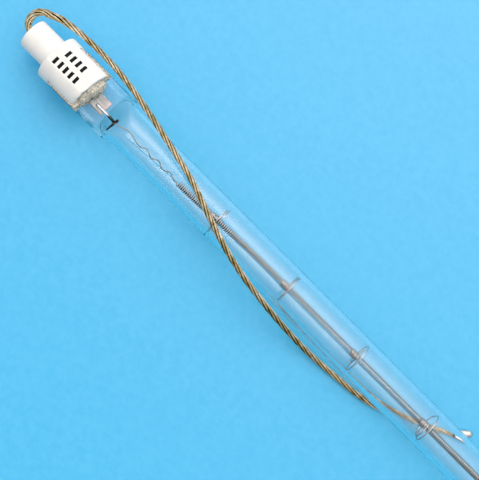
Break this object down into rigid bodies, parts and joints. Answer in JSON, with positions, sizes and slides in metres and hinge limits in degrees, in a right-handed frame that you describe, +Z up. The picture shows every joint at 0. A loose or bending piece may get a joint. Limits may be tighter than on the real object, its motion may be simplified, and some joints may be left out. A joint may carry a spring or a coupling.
{
  "type": "quartz infrared heat lamp tube",
  "caption": "Long clear quartz heating lamp with a coiled filament on wire rings, flat sealed ends in ceramic caps and a flexible bare lead.",
  "frame": {"origin": "the middle of the quartz tube's axis, half way between the two cap ends", "axes": "+X along the lamp from the end with the flexible lead to the other end, +Z up, square to the caps' flats"},
  "size_m": [0.7354, 0.0162, 0.0141],
  "materials": {
    "quartz": "clear, polished fused quartz",
    "ceramic": "satin",
    "cement": "rough grey-beige cement",
    "tungsten": "drawn tungsten wire",
    "molybdenum": "molybdenum foil and pin",
    "nickel": "bare stranded nickel wire, slightly yellowed",
    "weld": "bright fused metal"
  },
  "bodies": {
    "root": {"near_ceramic_cap": "ceramic", "near_cap_cement": "cement", "near_seal_foil": "molybdenum", "near_outer_pin": "molybdenum", "near_inner_lead": "molybdenum", "near_crimp_sleeve": "nickel", "far_ceramic_cap": "ceramic", "far_cap_cement": "cement", "far_seal_foil": "molybdenum", "far_outer_pin": "molybdenum", "far_inner_lead": "molybdenum", "far_crimp_sleeve": "nickel", "quartz_envelope": "quartz", "filament": "tungsten", "filament_support_01": "tungsten", "filament_support_02": "tungsten", "filament_support_03": "tungsten", "filament_support_04": "tungsten", "filament_support_05": "tungsten", "filament_support_06": "tungsten", "filament_support_07": "tungsten", "filament_support_08": "tungsten", "filament_support_09": "tungsten", "filament_support_10": "tungsten", "filament_support_11": "tungsten", "filament_support_12": "tungsten", "filament_support_13": "tungsten", "filament_support_14": "tungsten", "filament_support_15": "tungsten", "filament_support_16": "tungsten", "filament_support_17": "tungsten", "filament_support_18": "tungsten", "filament_support_19": "tungsten", "filament_support_20": "tungsten", "filament_support_21": "tungsten", "filament_support_22": "tungsten", "filament_support_23": "tungsten", "filament_support_24": "tungsten", "filament_support_25": "tungsten", "filament_support_26": "tungsten", "filament_support_27": "tungsten", "filament_support_28": "tungsten", "filament_support_29": "tungsten", "flex_lead": "nickel", "lead_tip": "weld"}
  },
  "joints": []
}
